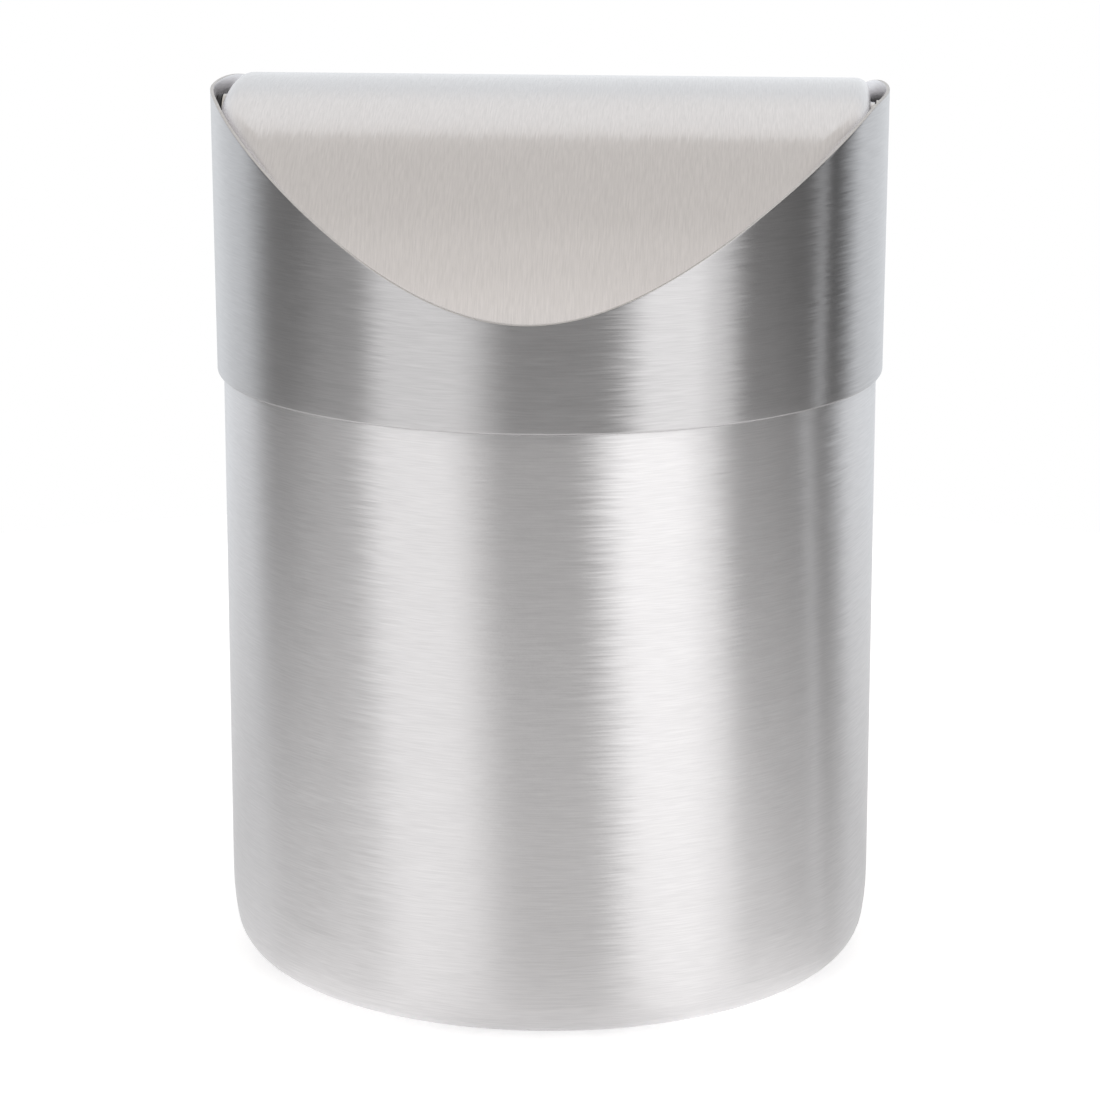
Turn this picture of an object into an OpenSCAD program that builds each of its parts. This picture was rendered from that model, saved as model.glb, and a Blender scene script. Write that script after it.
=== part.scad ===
// Countertop waste bin with a swing lid, in millimetres.
// A drawn steel can carries a lift-off collar. The collar's top is cut to a saddle, and an arched flap swings
// freely between its two ears. +Z is up, the can stands on z = 0 with its axis on Z, the front faces -Y, and
// the flap's pivots lie on a line along X.

/* [Can] */
// Outer diameter of the can's wall
can_d = 121; // [110:1:135]
// Height of the can's rim above the table
can_h = 124; // [116:1:126]
// Thickness of the can's sheet
can_t = 0.5; // [0.4:0.05:0.7]
// Radius of the long arc that draws the wall in above the bottom edge
heel_r = 52; // [40:1:60]
// Angle that the long arc turns through
heel_a = 9.3; // [6:0.1:12]
// Radius of the bottom edge
edge_r = 8.1; // [6:0.1:10]
// Width of the ring that the can stands on
foot_w = 5; // [3:0.5:8]
// Height of the base panel above the table, inside that ring
base_rise = 2; // [1:0.5:3]
// Depth of the hem that is folded in at the rim
hem_depth = 4; // [3:0.5:6]

/* [Collar] */
// Thickness of the collar's and the flap's sheet
sheet_t = 0.6; // [0.5:0.05:0.7]
// Height of the collar's lower edge above the table
collar_z = 111.7; // [108:0.1:113]
// Step from the can's wall out to the collar's outer face, at its lower edge
collar_step = 1.17; // [1.1:0.01:1.4]
// How much the collar's radius grows from its lower edge to the ears
collar_flare = 0.35; // [0:0.05:0.5]
// Clearance between the can's wall and the collar's turned-in lower edge
sleeve_gap = 0.3; // [0.2:0.05:0.4]
// Radius of the arch that the collar's top is cut to
saddle_r = 73; // [72:0.5:76]
// Height of that arch's crown
saddle_z = 165.1; // [164.5:0.1:166]
// Height at which the two ears are trimmed
ear_z = 163.7; // [163:0.1:164.4]

/* [Seat ring] */
// Depth of the lip that hangs inside the can's rim
lip_depth = 5; // [4:0.5:8]
// Height of the upstand that is welded to the collar
upstand = 5; // [4:0.5:6]

/* [Flap] */
// Height of the flap's crown, which is the height of the whole bin
crown_z = 165; // [164.5:0.1:166]
// Radius of the flap's arch
flap_r = 68.3; // [67:0.1:70]
// Diameter that the flap is trimmed to, seen from above
flap_d = 121.4; // [120:0.1:121.8]
// Depth of the flap from its front edge to its back edge, seen from above
flap_depth = 119; // [117:0.1:119.4]
// Radius of the front and the back edge, seen from above
nose_r = 66; // [63:0.5:80]
// Length of the flap over its two ends, which are bent down
flap_len = 117; // [114:0.1:117]
// Outer radius of the bend at each end
bend_r = 2.5; // [1.5:0.1:4]
// Half the width of a hinge tab, which is also the radius of its round end
tab_r = 7; // [6:0.5:7.5]
// How far the lip that is drawn out round a tab's hole stands out
hole_lip = 0.9; // [0.5:0.1:0.9]

/* [Pivots] */
// Depth of the pivot axis below the flap's crown
pivot_drop = 7; // [6.5:0.1:8]
// Diameter of a pivot stud
pin_d = 3; // [2.5:0.1:3.2]
// Outer diameter of a bush's barrel, on which the flap turns
barrel_d = 5; // [4.6:0.1:5.2]
// Diameter of a bush's flange and of the steel washer beside it
flange_d = 7; // [6.6:0.1:7.4]
// Outer diameter of a push-on retainer
nut_d = 6.4; // [6:0.1:6.6]

/* [Hidden] */

$fn = 96;
over = 1;                    // how far a cutting shape runs past what it cuts
bevel_run = sqrt(2) - 1;     // how far a corner of 45 degrees moves when its sheet is offset by one unit

can_r = can_d / 2;
heel_h = heel_r * sin(heel_a) + edge_r * (1 - sin(heel_a));
heel_c = [can_r - heel_r, heel_h];
edge_c = [can_r - heel_r * (1 - cos(heel_a)) - edge_r * cos(heel_a), edge_r];
foot_in_r = edge_c[0] - foot_w;

lip_gap = 0.3;               // clearance between the hem and the lip that hangs inside it
rest_gap = 0.05;             // the seat ring's web stands this far above the rim
lip_r = can_r - 2 * can_t - lip_gap;
web_z = can_h + rest_gap;
bead_r = (collar_step - sleeve_gap) / 2;

pivot_z = crown_z - pivot_drop;
bend_c = [flap_r - bend_r, flap_len / 2 - bend_r];
tab_x = flap_len / 2 - sheet_t;
nose_y = nose_r - flap_depth / 2;

run_gap = 0.06;              // radial clearance of the flap's tabs on the bushes
push_gap = 0.02;             // radial clearance of the bushes and retainers on the studs
side_gap = 0.2;              // play along the pivot axis between one piece and the next
hole_d = barrel_d + 2 * run_gap;
washer_t = 0.6;
washer_x = flap_len / 2 + hole_lip + side_gap;
flange_x = washer_x + washer_t + side_gap;
flange_t = 0.75;
barrel_x = tab_x - side_gap;
nut_t = 0.5;
nut_x = barrel_x - side_gap - nut_t;
pin_end = 1;                 // how far a stud stands out beyond its retainer
pin_x = nut_x - pin_end;
pin_chamfer = 0.4;

// Outer radius of the collar at height z
function collar_r(z) = can_r + collar_step + collar_flare * (z - collar_z) / (saddle_z - collar_z);

// Half profile of the can's space, offset inwards by inset and open up to height top
module can_profile(inset, top) {
    translate([0, heel_h])
        square([can_r - inset, top - heel_h]);
    intersection() {
        translate(heel_c)
            circle(heel_r - inset);
        polygon([heel_c, heel_c + [2 * heel_r, 0], heel_c + 2 * heel_r * [cos(heel_a), -sin(heel_a)]]);
    }
    translate(edge_c)
        circle(edge_r - inset);
    polygon([[0, inset], [edge_c[0], inset], edge_c, heel_c, [0, heel_h]]);
}

// What the raised base panel takes out of the can's half profile, lifted by lift
module base_recess(lift) {
    foot_x = foot_in_r + bevel_run * lift;
    panel_z = base_rise + lift;
    polygon([[0, -over], [foot_x, -over], [foot_x, lift], [foot_x - base_rise, panel_z], [0, panel_z]]);
}

module bin_body() {
    color("silver")
        rotate_extrude() {
            difference() {
                can_profile(0, can_h - can_t);
                difference() {
                    can_profile(can_t, can_h + over);
                    base_recess(can_t);
                }
                base_recess(0);
            }
            translate([can_r - 2 * can_t, can_h - hem_depth])
                square([can_t, hem_depth - can_t]);
            translate([can_r - can_t, can_h - can_t])
                circle(can_t);
        }
}

// Everything under the arch that the collar's top is cut to
module under_saddle() {
    intersection() {
        translate([-can_d, 0, saddle_z - saddle_r])
            rotate([0, 90, 0])
                cylinder(r = saddle_r, h = 2 * can_d);
        translate([-can_d, -can_d, 0])
            cube([2 * can_d, 2 * can_d, ear_z]);
    }
}

module collar() {
    low_z = collar_z + bead_r;
    color("gainsboro")
        intersection() {
            rotate_extrude() {
                polygon([
                    [collar_r(low_z) - sheet_t, low_z], [collar_r(low_z), low_z],
                    [collar_r(saddle_z), saddle_z], [collar_r(saddle_z) - sheet_t, saddle_z]
                ]);
                translate([collar_r(low_z) - bead_r, low_z])
                    circle(bead_r);
            }
            under_saddle();
        }
}

module seat_ring() {
    web_top = web_z + sheet_t;
    top_z = web_z + upstand;
    function wall_r(z) = collar_r(z) - sheet_t;
    color("darkgray")
        rotate_extrude()
            polygon([
                [lip_r - sheet_t, can_h - lip_depth], [lip_r, can_h - lip_depth], [lip_r, web_z],
                [wall_r(web_z), web_z], [wall_r(top_z), top_z], [wall_r(top_z) - sheet_t, top_z],
                [wall_r(web_top) - sheet_t, web_top], [lip_r - sheet_t, web_top]
            ]);
}

// Half section of the flap along its length, x for the distance from the arch's axis and y for the distance
// along it, offset inwards by inset
module flap_section(inset) {
    square([flap_r - inset, bend_c[1]]);
    square([bend_c[0], flap_len / 2 - inset]);
    translate(bend_c)
        circle(bend_r - inset);
}

// The arched sheet with its bent ends, as a full turn about the arch's axis
module arch_shell() {
    rotate([0, 90, 0])
        rotate_extrude()
            for (side = [0, 1])
                mirror([0, side])
                    difference() {
                        flap_section(0);
                        flap_section(sheet_t);
                        square([flap_r - pivot_drop - 2 * tab_r, flap_len]);
                    }
}

// The flap's outline seen from above, as a solid from z = low_z up
module flap_outline(low_z) {
    height = crown_z + over - low_z;
    translate([0, 0, low_z])
        intersection() {
            cylinder(d = flap_d, h = height);
            translate([0, nose_y, 0])
                cylinder(r = nose_r, h = height);
            translate([0, -nose_y, 0])
                cylinder(r = nose_r, h = height);
        }
}

// What is cut from a bent end, below the pivot axis, to leave a round-ended hinge tab
module tab_trim() {
    cut_w = flap_d / 2;
    cut_h = 3 * tab_r;
    translate([tab_x - over, 0, pivot_z])
        rotate([90, 0, 90])
            linear_extrude(height = sheet_t + 2 * over)
                difference() {
                    translate([-cut_w / 2, -cut_h])
                        square([cut_w, cut_h]);
                    circle(tab_r);
                }
}

module flap() {
    color("lightgray")
        difference() {
            union() {
                intersection() {
                    translate([0, 0, crown_z - flap_r])
                        arch_shell();
                    flap_outline(crown_z - flap_r);
                }
                for (side = [0, 1])
                    mirror([side, 0, 0])
                        pivot_rod(hole_d + 2 * sheet_t, tab_x, flap_len / 2 + hole_lip);
            }
            for (side = [0, 1])
                mirror([side, 0, 0])
                    tab_trim();
            pivot_rod(hole_d, -flap_len, flap_len);
        }
}

// Round stock on the pivot axis, from x = from_x to x = to_x
module pivot_rod(d, from_x, to_x) {
    translate([from_x, 0, pivot_z])
        rotate([0, 90, 0])
            cylinder(d = d, h = to_x - from_x);
}

// A stud with a chamfered inner end, its outer end shaped to the ear that it is welded to
module pivot_pin() {
    color("dimgray")
        intersection() {
            union() {
                pivot_rod(pin_d, pin_x + pin_chamfer, can_r + collar_step);
                translate([pin_x, 0, pivot_z])
                    rotate([0, 90, 0])
                        cylinder(d1 = pin_d - 2 * pin_chamfer, d2 = pin_d, h = pin_chamfer);
            }
            cylinder(r1 = collar_r(0) - sheet_t, r2 = collar_r(saddle_z) - sheet_t, h = saddle_z);
        }
}

module pivot_bush() {
    color("black")
        difference() {
            union() {
                pivot_rod(barrel_d, barrel_x, flange_x + flange_t);
                pivot_rod(flange_d, flange_x, flange_x + flange_t);
            }
            pivot_rod(pin_d + 2 * push_gap, barrel_x - over, flange_x + flange_t + over);
        }
}

module thrust_washer() {
    color("gray")
        difference() {
            pivot_rod(flange_d, washer_x, washer_x + washer_t);
            pivot_rod(hole_d, washer_x - over, washer_x + washer_t + over);
        }
}

module push_nut() {
    color("slategray")
        difference() {
            pivot_rod(nut_d, nut_x, nut_x + nut_t);
            pivot_rod(pin_d + 2 * push_gap, nut_x - over, nut_x + nut_t + over);
        }
}

module pivot_pin_left() { mirror([1, 0, 0]) pivot_pin(); }
module pivot_pin_right() { pivot_pin(); }
module pivot_bush_left() { mirror([1, 0, 0]) pivot_bush(); }
module pivot_bush_right() { pivot_bush(); }
module thrust_washer_left() { mirror([1, 0, 0]) thrust_washer(); }
module thrust_washer_right() { thrust_washer(); }
module push_nut_left() { mirror([1, 0, 0]) push_nut(); }
module push_nut_right() { push_nut(); }

bin_body();
collar();
seat_ring();
flap();
pivot_pin_left();
pivot_pin_right();
pivot_bush_left();
pivot_bush_right();
thrust_washer_left();
thrust_washer_right();
push_nut_left();
push_nut_right();
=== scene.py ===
"""Looks of the countertop waste bin with a swing lid: brushed steel in plain soft studio light.

Lengths are in metres and angles in degrees. The front of the bin faces -Y and it stands on z = 0.
"""

import math

import bpy
import numpy as np
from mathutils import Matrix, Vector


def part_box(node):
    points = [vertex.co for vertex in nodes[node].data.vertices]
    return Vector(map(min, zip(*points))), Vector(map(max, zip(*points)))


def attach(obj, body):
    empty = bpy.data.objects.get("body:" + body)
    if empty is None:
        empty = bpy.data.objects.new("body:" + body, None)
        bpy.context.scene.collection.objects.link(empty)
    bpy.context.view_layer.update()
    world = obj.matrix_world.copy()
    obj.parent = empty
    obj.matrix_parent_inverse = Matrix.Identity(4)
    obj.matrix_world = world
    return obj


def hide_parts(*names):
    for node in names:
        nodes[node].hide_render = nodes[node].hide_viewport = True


MM = 0.001

# Camera, as the photograph was taken: its distance from the bin's axis, its height above the table, how far
# it looks down, how far it stands round to the bin's right, its lens and its sensor's width in mm, and how
# near it sees
CAMERA_DISTANCE = 0.7494
CAMERA_HEIGHT = 0.2657
CAMERA_PITCH = 14.21
CAMERA_AZIMUTH = 4.1
CAMERA_LENS = 134.39
CAMERA_SENSOR = 36.0
CAMERA_CLIP = 0.01

# The studio walls as the steel mirrors them: (azimuth seen from the bin, 0 at the camera and + to the
# right; brightness; warmth). Two soft boxes stand beside the camera, dark flags beyond them, and white
# paper behind.
WALLS = (
    (-180, 0.92, -0.03), (-166, 0.93, -0.03), (-152, 1.03, -0.03), (-130, 0.97, -0.03), (-106, 0.23, 0.0),
    (-97, 0.2, 0.0), (-78, 0.34, 0.0), (-70, 0.385, 0.0), (-56, 1.26, 0.0), (-34, 1.26, 0.0),
    (-11, 0.17, 0.0), (12, 0.17, 0.0), (30, 1.72, 0.0), (49, 1.72, 0.0), (59, 1.25, 0.0),
    (72, 0.13, 0.0), (100, 0.11, 0.0), (104, 0.7, -0.02), (106, 0.7, -0.02), (109, 0.06, 0.0),
    (113, 0.06, 0.0), (132, 1.02, -0.03), (180, 0.92, -0.03),
)
# The studio overhead: (angle up from the horizon behind the bin, through the zenith; brightness; warmth)
OVERHEAD = (
    (0, 0.93, -0.03), (20, 0.94, -0.02), (32, 1.04, 0.0), (49, 1.04, 0.0), (56, 0.99, 0.01),
    (60.5, 0.77, 0.03), (72, 0.77, 0.03), (90, 0.79, 0.03), (110, 0.88, 0.03), (125, 0.95, 0.03),
    (140, 1.04, 0.03), (180, 1.1, 0.02),
)
# Heights above the horizon between which the walls turn into the overhead
CEILING_FROM = 32
CEILING_TO = 54
# Behind the bin it comes lower, by this share of the way back
CEILING_DROP = 0.18

FLOOR_RADIUS = 0.35
FLOOR_SIDES = 96
FLOOR_COLOUR = (0.85, 0.85, 0.85, 1.0)
FLOOR_GLOW = 0.48
# For the steel that mirrors it, the table glows with this share of the soft boxes' light: a painted
# reflection of the soft boxes on the table
FLOOR_PAINTED_REFLECTION = 0.2
# The table behind the bin, past this fade along Y, shows the bin only a share of its glow: painted shade,
# for the bin's shadow and the soft boxes' light falling off behind it
FLOOR_SHADE_FADE = (-0.04, 0.05)
FLOOR_SHADED_SHARE = 0.2
WHITE = (1.0, 1.0, 1.0, 1.0)

# Length of the scratches round the can and the collar, and along the flap
SCRATCH = 7 * MM
FLAP_SCRATCH = 4 * MM
# Their layers, fine, hair-thin and broad: length as a share of that, width, and the noise's detail
GRAIN_LAYERS = ((1, 0.22 * MM, 0.0), (0.5, 0.15 * MM, 0.0), (3, 3 * MM, 1.0))
# How far the scratches wander to either side, and how often, in waves a metre
GRAIN_DRIFT = 0.8 * MM
DRIFT_SCALE = 45.0
# What the noise reaches, one layer and the sum of two, and its middle
NOISE_SPAN = (0.3, 0.7)
NOISE_SUM_SPAN = (0.6, 1.4)
NOISE_MIDDLE = (0.5, 0.5, 0.5)
# What the broad layer changes: the colour, as a share of the streaks', and the roughness
PATCH_SHARE = 0.3
ROUGHNESS_DRIFT = 0.01
# The highlights spread across the scratches: a quarter turn from the tangent
ACROSS = 0.25

# Height at which the can's wall isn't turned, and how fast it turns above and below, in radians a metre
TWIST_FROM = 60 * MM
CAN_TWIST = 0.7
# The collar's bow: its place and half width round the axis, in degrees, and its turn, in radians
BOW_AT = 17
BOW_HALF = 15
COLLAR_BOW = -0.05

# The sheet that the collar and the flap are made of, and how far its cut corners are broken
SHEET = 0.6 * MM
BREAK = 0.1 * MM
# Steps round the Z axis, and round a hinge hole, and the digits to which two steps' turns count as one
SIDES = 720
HOLE_SIDES = 64
TURN_DIGITS = 7

# The arch that the collar's top is cut to: its radius and the height of its crown
SADDLE_RADIUS = 73 * MM
SADDLE_TOP = 165.1 * MM
# How softly the ears' corners are rounded, and the rounds it takes to settle the edge on the flared wall
EAR_SOFTNESS = 1.5 * MM
SADDLE_ROUNDS = 4
# The bead at the collar's lower edge: its radius, the angles it turns through and its steps
BEAD = 0.435 * MM
BEAD_TURN = (-215, -10)
BEAD_STEPS = 14
# Where the collar's inside ends, above the middle of the bead
INNER_FOOT = 0.25 * MM
# The corners across the collar's wall, as shares of its height, and round each broken corner
WALL_SHARES = (0.0, 0.04, 0.12, 0.25, 0.4, 0.55, 0.7, 0.82, 0.91, 0.97, 0.99, 1.0)
BREAK_TURN = np.radians([22.5, 45, 67.5, 90])
# How close to a height the CAD corners are that give the collar's radius there
HEIGHT_REACH = 0.6 * MM
# The upright seam at the collar's back: its half width and depth, and the finer steps there, in radians
SEAM_WIDTH = 0.18 * MM
SEAM_DEPTH = 0.05 * MM
SEAM_STEP = 0.0015
SEAM_STEPS = 4

# The flap: the radius of its arch, its outline seen from above (the round, its eased front and back, the
# straight ends and their corners) and how far the pivots lie below its crown
ARCH_RADIUS = 68.3 * MM
PLAN_RADIUS = 60.95 * MM
NOSE_RADIUS = 66 * MM
FLAP_HALF = 58.5 * MM
CORNER_SOFTNESS = 1.2 * MM
PIVOT_DROP = 7 * MM
# Share of a direction that runs along X, below which it is far from the straight ends
LEAST_REACH = 0.1
# The finer steps round the two ends, in radians, and the share of the half length past which an end begins
END_STEP = 0.0022
END_STEPS = 60
END_SHARE = 0.9
# The round hinge tabs, and how far from the pivot line they run out into the flap's edge
TAB_RADIUS = 7 * MM
TAB_ROOT = (12.5 * MM, 16.5 * MM)
# The hinge hole in each end, with the lip that is drawn out of the sheet round it: how far it stands out,
# how deep it is rooted in the sheet, and the fillet round it
HOLE_RADIUS = 2.56 * MM
LIP = 0.9 * MM
LIP_ROOT = 0.9 * SHEET
LIP_FILLET = 3 * BREAK
# Radius that the flap's rim is turned down to, at its ends and at its front, and between which places
RIM_AT_ENDS = 2.8 * MM
RIM_AT_FRONT = 0.3 * MM
RIM_FADE = (30 * MM, 48 * MM)
RIM_STEPS = 11
# The upright skirt below the rim
SKIRT = 0.5 * MM
SKIRT_SHARES = (0, 0.02, 0.2, 0.5, 0.8, 0.98)
# The rows of corners from the rim to the crown, as shares of the way out
CROWN_SHARES = (0.998, 0.99, *np.linspace(0.975, 0.02, 48))

# Places of the materials on the collar and the flap
OUTSIDE, INSIDE, CUT = range(3)

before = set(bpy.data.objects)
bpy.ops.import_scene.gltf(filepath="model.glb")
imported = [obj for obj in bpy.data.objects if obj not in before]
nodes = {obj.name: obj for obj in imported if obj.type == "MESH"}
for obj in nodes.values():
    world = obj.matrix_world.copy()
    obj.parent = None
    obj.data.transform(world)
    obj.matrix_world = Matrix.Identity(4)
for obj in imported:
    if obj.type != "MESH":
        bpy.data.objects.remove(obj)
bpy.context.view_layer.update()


# Shapes


def smooth_min(first, second, softness):
    """The smaller of two values, with the corner between them rounded."""
    share = np.clip(0.5 + 0.5 * (second - first) / softness, 0, 1)
    return second + (first - second) * share - softness * share * (1 - share)


def smooth_step(value, low, high):
    share = np.clip((value - low) / (high - low), 0, 1)
    return share * share * (3 - 2 * share)


def arch_height(y, crown, radius):
    """Height of an arch along X at a distance y from its crown line."""
    return crown - radius + np.sqrt(np.maximum(radius**2 - y**2, 0))


def outer_radius(name, height):
    """Distance from the Z axis to a CAD node's outermost corners near a height."""
    corners = np.array([corner.co for corner in nodes[name].data.vertices])
    near = corners[np.abs(corners[:, 2] - height) < HEIGHT_REACH]
    return np.hypot(near[:, 0], near[:, 1]).max()


def pivot_height():
    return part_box("flap")[1].z - PIVOT_DROP


def ring_turns(fine_at, fine_step, fine_count):
    """Directions round the Z axis, 0 at the front, with extra ones close to those in fine_at."""
    even = np.linspace(0, 2 * np.pi, SIDES, False)
    extra = [turn + k * fine_step for turn in fine_at for k in range(-fine_count, fine_count + 1)]
    return np.unique(np.round(np.mod(np.concatenate([even, extra]), 2 * np.pi), TURN_DIGITS))


def wrap_faces(rows, columns, closed=False):
    """Quads between neighbouring rows of corners, each row closed on itself.

    Where closed is true, the last row is joined to the first as well."""
    here = np.arange(columns)
    following = (here + 1) % columns
    faces = []
    for row in range(rows if closed else rows - 1):
        low = row * columns
        high = (row + 1) % rows * columns
        faces += np.stack([low + here, low + following, high + following, high + here], 1).tolist()
    return faces


def add_object(name, data):
    item = bpy.data.objects.new(name, data)
    bpy.context.scene.collection.objects.link(item)
    return item


def make_piece(name, corners, faces, materials, slots=None):
    """A smooth-shaded object from corners and faces, with each face's material in slots."""
    mesh = bpy.data.meshes.new(name)
    mesh.from_pydata([tuple(corner) for corner in corners], [], faces)
    for material in materials:
        mesh.materials.append(material)
    if slots is not None:
        mesh.polygons.foreach_set("material_index", slots)
    mesh.polygons.foreach_set("use_smooth", [True] * len(mesh.polygons))
    mesh.validate()
    return add_object(name, mesh)


def saddle_line(turns, wall, ears):
    """Height of the collar's upper edge in each direction: the saddle, trimmed at the ears' height."""
    line = np.full_like(turns, ears)
    for _ in range(SADDLE_ROUNDS):
        arch = arch_height(wall(line) * np.cos(turns), SADDLE_TOP, SADDLE_RADIUS)
        line = smooth_min(arch, ears, EAR_SOFTNESS)
    return line


def collar_rings(turns):
    """The collar's rings, (radius, height) in each direction, and the material of the faces past each ring.

    They run round the bead, up the outside, over the cut edge and down the inside."""
    low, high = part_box("collar")
    foot = low.z + BEAD
    foot_radius = outer_radius("collar", foot)
    flare = (outer_radius("collar", high.z) - foot_radius) / (high.z - foot)
    seam = SEAM_DEPTH * np.exp(-(((turns - np.pi) * high.x / SEAM_WIDTH) ** 2))

    def wall(z):
        return foot_radius + flare * (z - foot) - seam

    def level(z):
        return np.full_like(turns, z)

    edge = saddle_line(turns, wall, high.z) - BREAK
    heights = [foot + (edge - foot) * share for share in WALL_SHARES]
    bead = [
        (wall(foot) - BEAD + BEAD * math.cos(angle), level(foot + BEAD * math.sin(angle)))
        for angle in np.radians(np.linspace(*BEAD_TURN, BEAD_STEPS))
    ]
    outer = [(wall(z), z) for z in heights]
    broken = [(BREAK * (1 - math.cos(angle)), edge + BREAK * math.sin(angle)) for angle in BREAK_TURN]
    cut = [(wall(edge) - aside, z) for aside, z in broken]
    cut += [(wall(edge) - SHEET + aside, z) for aside, z in reversed(broken)]
    inner = [(wall(z) - SHEET, z) for z in heights[:0:-1]]
    inner.append((wall(foot) - SHEET, level(foot + INNER_FOOT)))
    last_outer = len(bead) + len(outer) - 1
    slots = [OUTSIDE] * last_outer + [CUT] * len(cut) + [INSIDE] * (len(inner) + 1)
    return bead + outer + cut + inner, slots


def make_collar(materials):
    """The collar: a rolled sheet with a bead at its foot, cut square to the sheet along the saddle."""
    turns = ring_turns([np.pi], SEAM_STEP, SEAM_STEPS)
    rings, slots = collar_rings(turns)
    corners = np.concatenate([
        np.stack([radius * np.sin(turns), -radius * np.cos(turns), z], 1) for radius, z in rings
    ])
    faces = wrap_faces(len(rings), len(turns), closed=True)
    piece = make_piece("collar_sheet", corners, faces, materials, np.repeat(slots, len(turns)).tolist())
    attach(piece, "lid_collar")
    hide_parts("collar")


def flap_outline(turns):
    """The flap's outline seen from above: a round with eased front and back and straight ends."""
    reach_x = np.abs(np.sin(turns))
    reach_y = np.abs(np.cos(turns))
    shift = NOSE_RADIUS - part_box("flap")[1].y
    nose = -shift * reach_y + np.sqrt(NOSE_RADIUS**2 - (shift * reach_x) ** 2)
    ends = FLAP_HALF / np.maximum(reach_x, LEAST_REACH)
    reach = smooth_min(np.minimum(nose, PLAN_RADIUS), ends, CORNER_SOFTNESS)
    return np.stack([reach * np.sin(turns), -reach * np.cos(turns)], 1)


def flap_bottom(outline, shoulder):
    """Height of the flap's lower edge: a short skirt all round, and at the two ends the round tabs."""
    y = np.abs(outline[:, 1])
    hem = shoulder - SKIRT
    tab = pivot_height() - np.sqrt(np.maximum(TAB_RADIUS**2 - y**2, 0))
    at_end = np.abs(outline[:, 0]) > END_SHARE * FLAP_HALF
    return np.where(at_end, tab + (hem - tab) * smooth_step(y, *TAB_ROOT), hem)


def flap_rows(outline, crown):
    """Rows of corners on the flap's upper face, from its lower edge over the rim to near the crown."""
    tangent = np.roll(outline, -1, 0) - np.roll(outline, 1, 0)
    tangent /= np.linalg.norm(tangent, axis=1)[:, None]
    inwards = np.stack([-tangent[:, 1], tangent[:, 0]], 1)
    fade = smooth_step(np.abs(outline[:, 1]), *RIM_FADE)
    rim = RIM_AT_ENDS + (RIM_AT_FRONT - RIM_AT_ENDS) * fade
    shoulder = arch_height(outline[:, 1], crown, ARCH_RADIUS) - rim
    bottom = flap_bottom(outline, shoulder)

    rows = [np.column_stack([outline, bottom + (shoulder - bottom) * share]) for share in SKIRT_SHARES]
    for angle in np.radians(np.linspace(0, 90, RIM_STEPS)):
        plan = outline + inwards * (rim * (1 - math.cos(angle)))[:, None]
        height = arch_height(plan[:, 1], crown, ARCH_RADIUS) - rim * (1 - math.sin(angle))
        rows.append(np.column_stack([plan, height]))
    for share in CROWN_SHARES:
        plan = (outline + inwards * rim[:, None]) * share
        rows.append(np.column_stack([plan, arch_height(plan[:, 1], crown, ARCH_RADIUS)]))
    return rows


def underside(skin, faces):
    """A skin's corners, moved in by the sheet's thickness square to the skin."""
    shell = bpy.data.meshes.new("flap_shell")
    shell.from_pydata([tuple(corner) for corner in skin], [], faces)
    normals = np.array([vertex.normal for vertex in shell.vertices])
    bpy.data.meshes.remove(shell)
    return skin - normals * SHEET


def bore_ends(piece):
    """Cut the hinge hole, which runs along X, through both ends of a piece."""
    angles = np.linspace(0, 2 * np.pi, HOLE_SIDES, False)
    circle = np.column_stack([HOLE_RADIUS * np.cos(angles), pivot_height() + HOLE_RADIUS * np.sin(angles)])
    corners = [(x, y, z) for x in (-PLAN_RADIUS, PLAN_RADIUS) for y, z in circle]
    near_end = list(range(HOLE_SIDES))[::-1]
    far_end = list(range(HOLE_SIDES, 2 * HOLE_SIDES))
    cutter = make_piece("bore_cutter", corners, wrap_faces(2, HOLE_SIDES) + [near_end, far_end], [])
    bore = piece.modifiers.new("bore", "BOOLEAN")
    bore.operation = "DIFFERENCE"
    bore.solver = "EXACT"
    bore.object = cutter
    bored = bpy.data.meshes.new_from_object(piece.evaluated_get(bpy.context.evaluated_depsgraph_get()))
    piece.modifiers.clear()
    piece.data = bored
    bpy.data.objects.remove(cutter)


def make_flap(materials):
    """The flap: an arched sheet, its rim turned down, most at its two ends, which carry the hinge tabs."""
    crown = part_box("flap")[1].z
    outline = flap_outline(ring_turns([np.pi / 2, 3 * np.pi / 2], END_STEP, END_STEPS))
    rows = flap_rows(outline, crown)
    skin = np.concatenate(rows + [[[0, 0, crown]]])
    count = len(outline)
    total = len(skin)
    here = np.arange(count)
    following = (here + 1) % count
    last = (len(rows) - 1) * count
    cap = np.stack([last + here, last + following, np.full(count, total - 1)], 1).tolist()
    faces = wrap_faces(len(rows), count) + cap
    back = [[total + corner for corner in reversed(face)] for face in faces]
    rim_faces = np.stack([following, here, total + here, total + following], 1).tolist()
    slots = [OUTSIDE] * len(faces) + [INSIDE] * len(back) + [CUT] * len(rim_faces)
    corners = np.concatenate([skin, underside(skin, faces)])
    piece = make_piece("flap_sheet", corners, faces + back + rim_faces, materials, slots)
    bore_ends(piece)
    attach(piece, "swing_flap")
    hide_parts("flap")


def lip_profile():
    """A hinge lip, cut along its axis: (distance along X, radius), out the bore and back over the fillet."""
    inner = HOLE_RADIUS
    outer = HOLE_RADIUS + SHEET
    tip = FLAP_HALF + LIP
    return [
        (FLAP_HALF - LIP_ROOT, inner),
        (tip - BREAK, inner),
        (tip, inner + BREAK),
        (tip, outer - BREAK),
        (tip - BREAK, outer),
        (FLAP_HALF + LIP_FILLET, outer),
        (FLAP_HALF + BREAK, outer + BREAK),
        (FLAP_HALF, outer + LIP_FILLET),
        (FLAP_HALF - LIP_ROOT, outer),
    ]


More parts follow.
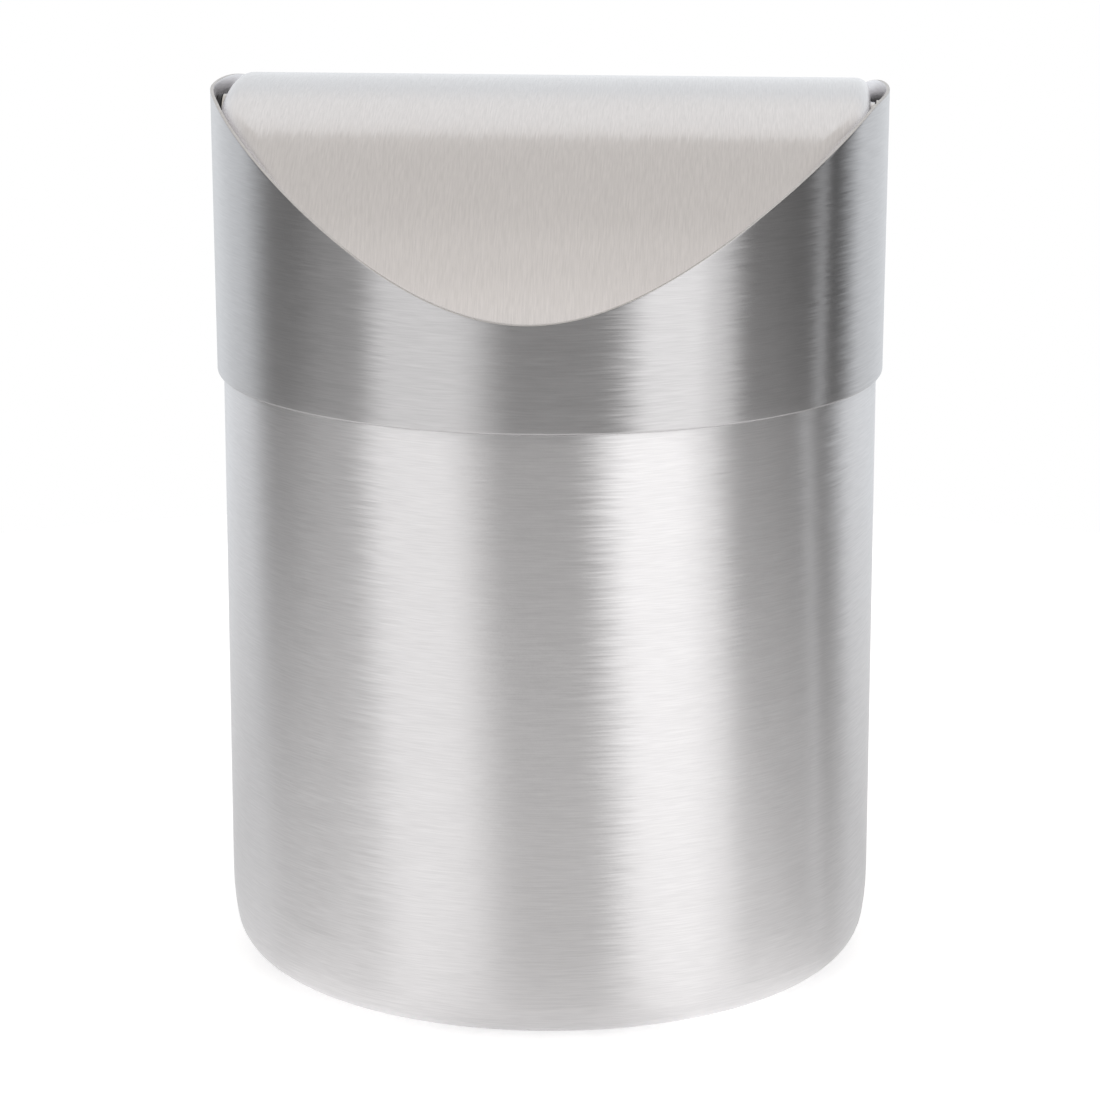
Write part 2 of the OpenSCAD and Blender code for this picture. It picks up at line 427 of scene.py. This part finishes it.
def make_hinge_lips(material):
    """The two lips round the hinge holes, each turned about the hinge axis."""
    profile = lip_profile()
    angles = np.linspace(0, 2 * np.pi, HOLE_SIDES, False)
    corners = np.concatenate([
        np.column_stack([np.full(HOLE_SIDES, x), r * np.cos(angles), pivot_height() + r * np.sin(angles)])
        for x, r in profile
    ])
    faces = wrap_faces(len(profile), HOLE_SIDES, closed=True)
    right = [face[::-1] for face in faces]
    left = [[len(corners) + corner for corner in face] for face in faces]
    both = np.concatenate([corners, corners * (-1, 1, 1)])
    piece = make_piece("flap_lips", both, right + left, [material])
    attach(piece, "swing_flap")


# Nodes


def add_node(tree, kind, inputs=(), **settings):
    """A new node, with its settings, and its inputs set to numbers or joined to other nodes' outputs."""
    node = tree.nodes.new(kind)
    for name, value in settings.items():
        setattr(node, name, value)
    for key, value in dict(inputs).items():
        if isinstance(value, bpy.types.NodeSocket):
            tree.links.new(value, node.inputs[key])
        else:
            node.inputs[key].default_value = value
    return node


def calculate(tree, operation, first, second=0.0):
    node = add_node(tree, "ShaderNodeMath", {0: first, 1: second}, operation=operation)
    return node.outputs[0]


def combine(tree, operation, first, second=(0.0, 0.0, 0.0)):
    node = add_node(tree, "ShaderNodeVectorMath", {0: first, 1: second}, operation=operation)
    return node.outputs[0]


def scale(tree, vector, factor):
    node = add_node(tree, "ShaderNodeVectorMath", {0: vector, "Scale": factor}, operation="SCALE")
    return node.outputs[0]


def map_range(tree, value, old, new, kind="LINEAR"):
    inputs = {"Value": value, "From Min": old[0], "From Max": old[1], "To Min": new[0], "To Max": new[1]}
    node = add_node(tree, "ShaderNodeMapRange", inputs, interpolation_type=kind)
    return node.outputs["Result"]


def separate(tree, vector):
    return add_node(tree, "ShaderNodeSeparateXYZ", {0: vector}).outputs


def azimuth_of(tree, x, y):
    """The direction of x, y round the Z axis, in radians: 0 at the front and + to the right."""
    return calculate(tree, "ARCTAN2", x, calculate(tree, "MULTIPLY", y, -1.0))


def mix(tree, factor, first, second):
    """A blend of two colours, which are this node's inputs 6 and 7, and its output 2."""
    inputs = {"Factor": factor, 6: first, 7: second}
    return add_node(tree, "ShaderNodeMix", inputs, data_type="RGBA").outputs[2]


def light_ramp(tree, value, stops):
    """A ramp of light, from (place between 0 and 1, brightness, warmth) rows."""
    ramp = add_node(tree, "ShaderNodeValToRGB", {"Fac": value})
    ramp.color_ramp.interpolation = "EASE"
    while len(ramp.color_ramp.elements) < len(stops):
        ramp.color_ramp.elements.new(1.0)
    for element, (place, brightness, warmth) in zip(ramp.color_ramp.elements, stops):
        element.position = place
        element.color = (brightness * (1 + warmth), brightness, brightness * (1 - warmth), 1.0)
    return ramp.outputs["Color"]


# Studio


def wall_light(tree, x, y):
    """The light of the studio's walls in the direction x, y."""
    turned = calculate(tree, "SUBTRACT", azimuth_of(tree, x, y), math.radians(CAMERA_AZIMUTH))
    turn = map_range(tree, turned, (-math.pi, math.pi), (0.0, 1.0))
    return light_ramp(tree, turn, [(0.5 + angle / 360, level, warmth) for angle, level, warmth in WALLS])


def overhead_light(tree, y, z):
    """The light of the studio's ceiling in the direction y, z."""
    rise = calculate(tree, "ARCTAN2", z, y)
    height = map_range(tree, rise, (0.0, math.pi), (0.0, 1.0))
    return light_ramp(tree, height, [(angle / 180, level, warmth) for angle, level, warmth in OVERHEAD])


def make_world():
    """White for the camera, and the studio's walls and ceiling for the light and the reflections."""
    world = bpy.data.worlds.new("studio")
    world.use_nodes = True
    tree = world.node_tree
    tree.nodes.clear()
    x, y, z = separate(tree, add_node(tree, "ShaderNodeTexCoord").outputs["Generated"])
    limits = (math.sin(math.radians(CEILING_FROM)), math.sin(math.radians(CEILING_TO)))
    behind = calculate(tree, "MULTIPLY", calculate(tree, "MAXIMUM", y, 0.0), CEILING_DROP)
    above = map_range(tree, calculate(tree, "ADD", z, behind), limits, (0.0, 1.0), "SMOOTHSTEP")
    studio = mix(tree, above, wall_light(tree, x, y), overhead_light(tree, y, z))
    ray = add_node(tree, "ShaderNodeLightPath")
    seen = mix(tree, ray.outputs["Is Camera Ray"], studio, WHITE)
    background = add_node(tree, "ShaderNodeBackground", {"Color": seen, "Strength": 1.0})
    add_node(tree, "ShaderNodeOutputWorld", {"Surface": background.outputs[0]})
    bpy.context.scene.world = world


def floor_glow(tree):
    """How much the floor glows: white for the camera, and for the steel that mirrors it the table, with a
    painted reflection of the soft boxes and painted shade behind the bin.
    """
    ray = add_node(tree, "ShaderNodeLightPath").outputs
    mirrored = calculate(tree, "MAXIMUM", ray["Is Glossy Ray"], ray["Is Transmission Ray"])
    x, y, _ = separate(tree, add_node(tree, "ShaderNodeNewGeometry").outputs["Position"])
    # Painted reflection: the soft boxes' light, painted into the table's glow for glossy rays
    painted_reflection = calculate(tree, "MULTIPLY", wall_light(tree, x, y), FLOOR_PAINTED_REFLECTION)
    near = calculate(tree, "ADD", painted_reflection, FLOOR_GLOW)
    # Painted shade: the table's glow for glossy rays falls to a share behind the bin
    painted_shade_share = map_range(tree, y, FLOOR_SHADE_FADE, (1.0, FLOOR_SHADED_SHARE))
    table = calculate(tree, "MULTIPLY", mirrored, calculate(tree, "MULTIPLY", near, painted_shade_share))
    white = calculate(tree, "MULTIPLY", ray["Is Camera Ray"], FLOOR_GLOW)
    return calculate(tree, "MAXIMUM", white, table)


def floor_white():
    material = bpy.data.materials.new("floor_white")
    material.use_nodes = True
    tree = material.node_tree
    tree.nodes.clear()
    diffuse = add_node(tree, "ShaderNodeBsdfDiffuse", {"Color": FLOOR_COLOUR})
    light = add_node(tree, "ShaderNodeEmission", {"Color": WHITE, "Strength": floor_glow(tree)})
    both = add_node(tree, "ShaderNodeAddShader", {0: diffuse.outputs[0], 1: light.outputs[0]})
    add_node(tree, "ShaderNodeOutputMaterial", {"Surface": both.outputs[0]})
    return material


def make_floor():
    """A round white table top, which keeps the bin's shadow and fades into the white around it."""
    angles = [2 * math.pi * side / FLOOR_SIDES for side in range(FLOOR_SIDES)]
    corners = [(FLOOR_RADIUS * math.cos(angle), FLOOR_RADIUS * math.sin(angle), 0.0) for angle in angles]
    mesh = bpy.data.meshes.new("floor")
    mesh.from_pydata(corners, [], [list(range(FLOOR_SIDES))])
    mesh.materials.append(floor_white())
    add_object("floor", mesh)


def make_camera():
    data = bpy.data.cameras.new("camera")
    data.sensor_width = CAMERA_SENSOR
    data.lens = CAMERA_LENS
    data.clip_start = CAMERA_CLIP
    camera = add_object("camera", data)
    turn = math.radians(CAMERA_AZIMUTH)
    camera.location = (CAMERA_DISTANCE * math.sin(turn), -CAMERA_DISTANCE * math.cos(turn), CAMERA_HEIGHT)
    camera.rotation_euler = (math.radians(90 - CAMERA_PITCH), 0.0, turn)
    bpy.context.scene.camera = camera


# Materials


def can_wave(tree, place):
    """How far the can's rolled wall turns off the true round, in radians: more with the height."""
    height = calculate(tree, "SUBTRACT", separate(tree, place)["Z"], TWIST_FROM)
    return calculate(tree, "MULTIPLY", height, CAN_TWIST)


def collar_wave(tree, place):
    """How far the collar turns off the true round, in radians: a slow bow beside the front."""
    x, y, _ = separate(tree, place)
    aside = calculate(tree, "SUBTRACT", azimuth_of(tree, x, y), math.radians(BOW_AT))
    distance = calculate(tree, "ABSOLUTE", aside)
    return map_range(tree, distance, (0.0, math.radians(BOW_HALF)), (COLLAR_BOW, 0.0), "SMOOTHSTEP")


def scratches(tree, place, axis, length):
    """The noise of the fine, the hair-thin and the broad scratches, drawn out round an axis."""
    drift = add_node(tree, "ShaderNodeTexNoise", {"Vector": place, "Scale": DRIFT_SCALE, "Detail": 1.0})
    shift = [0.0, 0.0, 0.0]
    shift[axis] = GRAIN_DRIFT
    bent = combine(tree, "ADD", place, combine(tree, "MULTIPLY", drift.outputs["Color"], shift))
    layers = []
    for share, width, detail in GRAIN_LAYERS:
        stretch = [1 / (share * length)] * 3
        stretch[axis] = 1 / width
        mapping = add_node(tree, "ShaderNodeMapping", {"Vector": bent, "Scale": stretch})
        inputs = {"Vector": mapping.outputs[0], "Scale": 1.0, "Detail": detail}
        layers.append(add_node(tree, "ShaderNodeTexNoise", inputs).outputs)
    return layers


def scratched_colour(tree, colour, layers, streak):
    """The steel's colour, lighter and darker by the scratches and a little by the broad patches."""
    fine, hair, broad = [layer["Fac"] for layer in layers]
    both = calculate(tree, "ADD", fine, hair)
    tone = map_range(tree, both, NOISE_SUM_SPAN, (1 - 2 * streak, 1 + 2 * streak))
    patch = map_range(tree, broad, NOISE_SPAN, (1 - PATCH_SHARE * streak, 1 + PATCH_SHARE * streak))
    return scale(tree, colour, calculate(tree, "MULTIPLY", tone, patch))


def scratched_normal(tree, place, noise, sway, wave):
    """The surface's normal, leaning with the scratches, and turned about Z where the sheet isn't true."""
    normal = add_node(tree, "ShaderNodeNewGeometry").outputs["Normal"]
    lean = scale(tree, combine(tree, "SUBTRACT", noise, NOISE_MIDDLE), sway)
    leaning = combine(tree, "ADD", normal, lean)
    if wave:
        aside = combine(tree, "CROSS_PRODUCT", (0.0, 0.0, 1.0), normal)
        leaning = combine(tree, "ADD", leaning, scale(tree, aside, wave(tree, place)))
    return combine(tree, "NORMALIZE", leaning)


def brushed_steel(
    name, colour, roughness, anisotropy, grain_axis, streak=0.03, sway=0.08, length=SCRATCH, wave=None
):
    """Brushed stainless steel. The scratches run round grain_axis, and the highlights spread across them.

    streak is how much the scratches lighten and darken the steel, and sway how far they turn its normal.
    wave gives the turn of a sheet that isn't quite true."""
    material = bpy.data.materials.new(name)
    material.use_nodes = True
    tree = material.node_tree
    inputs = tree.nodes["Principled BSDF"].inputs
    inputs["Metallic"].default_value = 1.0
    inputs["Anisotropic"].default_value = anisotropy
    inputs["Anisotropic Rotation"].default_value = ACROSS

    place = add_node(tree, "ShaderNodeTexCoord").outputs["Object"]
    layers = scratches(tree, place, "XYZ".index(grain_axis), length)
    fine, _, broad = layers
    limits = (roughness - ROUGHNESS_DRIFT, roughness + ROUGHNESS_DRIFT)
    tangent = add_node(tree, "ShaderNodeTangent", direction_type="RADIAL", axis=grain_axis)
    tree.links.new(scratched_colour(tree, colour, layers, streak), inputs["Base Color"])
    tree.links.new(map_range(tree, broad["Fac"], NOISE_SPAN, limits), inputs["Roughness"])
    tree.links.new(tangent.outputs[0], inputs["Tangent"])
    tree.links.new(scratched_normal(tree, place, fine["Color"], sway, wave), inputs["Normal"])
    return material


def can_steel():
    return brushed_steel(
        "can_brushed", (0.65, 0.64, 0.645), roughness=0.35, anisotropy=1.0, grain_axis="Z",
        streak=0.025, sway=0.06, wave=can_wave,
    )


def collar_steel():
    return brushed_steel(
        "collar_brushed", (0.475, 0.468, 0.472), roughness=0.287, anisotropy=1.0, grain_axis="Z",
        streak=0.03, sway=0.05, wave=collar_wave,
    )


# Painted light: the inside of the collar's sheet is coloured far lighter than its outside, to lighten the
# shade inside the ears and the collar
def collar_inside_painted_light():
    return brushed_steel("collar_inside_painted_light_steel", (0.95, 0.94, 0.96), roughness=0.42, anisotropy=0.3, grain_axis="Z")


def flap_steel():
    return brushed_steel(
        "flap_brushed", (0.666, 0.646, 0.641), roughness=0.22, anisotropy=1.0, grain_axis="X",
        streak=0.022, sway=0.05, length=FLAP_SCRATCH,
    )


def flap_inner_steel():
    return brushed_steel(
        "flap_inner", (0.72, 0.71, 0.7), roughness=0.36, anisotropy=0.6, grain_axis="X", length=FLAP_SCRATCH
    )


def ring_steel():
    return brushed_steel("inner_brushed", (0.6, 0.6, 0.6), roughness=0.4, anisotropy=0.5, grain_axis="Z")


def cut_edge_steel():
    return brushed_steel("cut_edge", (0.6, 0.585, 0.57), roughness=0.5, anisotropy=0.0, grain_axis="Z")


def hardware_steel():
    return brushed_steel("hardware", (0.6, 0.58, 0.55), roughness=0.35, anisotropy=0.0, grain_axis="X")


def black_plastic():
    material = bpy.data.materials.new("bush_plastic")
    material.use_nodes = True
    inputs = material.node_tree.nodes["Principled BSDF"].inputs
    inputs["Base Color"].default_value = (0.02, 0.02, 0.022, 1.0)
    inputs["Roughness"].default_value = 0.45
    return material


def paint(names, material):
    for name in names:
        nodes[name].data.materials.clear()
        nodes[name].data.materials.append(material)


def both_sides(*parts):
    return [part + "_" + side for part in parts for side in ("left", "right")]


make_world()
make_floor()
make_camera()

cut_edge = cut_edge_steel()
flap_outside = flap_steel()
make_collar([collar_steel(), collar_inside_painted_light(), cut_edge])
make_flap([flap_outside, flap_inner_steel(), cut_edge])
make_hinge_lips(flap_outside)
paint(["bin_body"], can_steel())
paint(["seat_ring"], ring_steel())
paint(both_sides("pivot_pin", "thrust_washer", "push_nut"), hardware_steel())
paint(both_sides("pivot_bush"), black_plastic())

bpy.context.scene.view_settings.view_transform = "Standard"
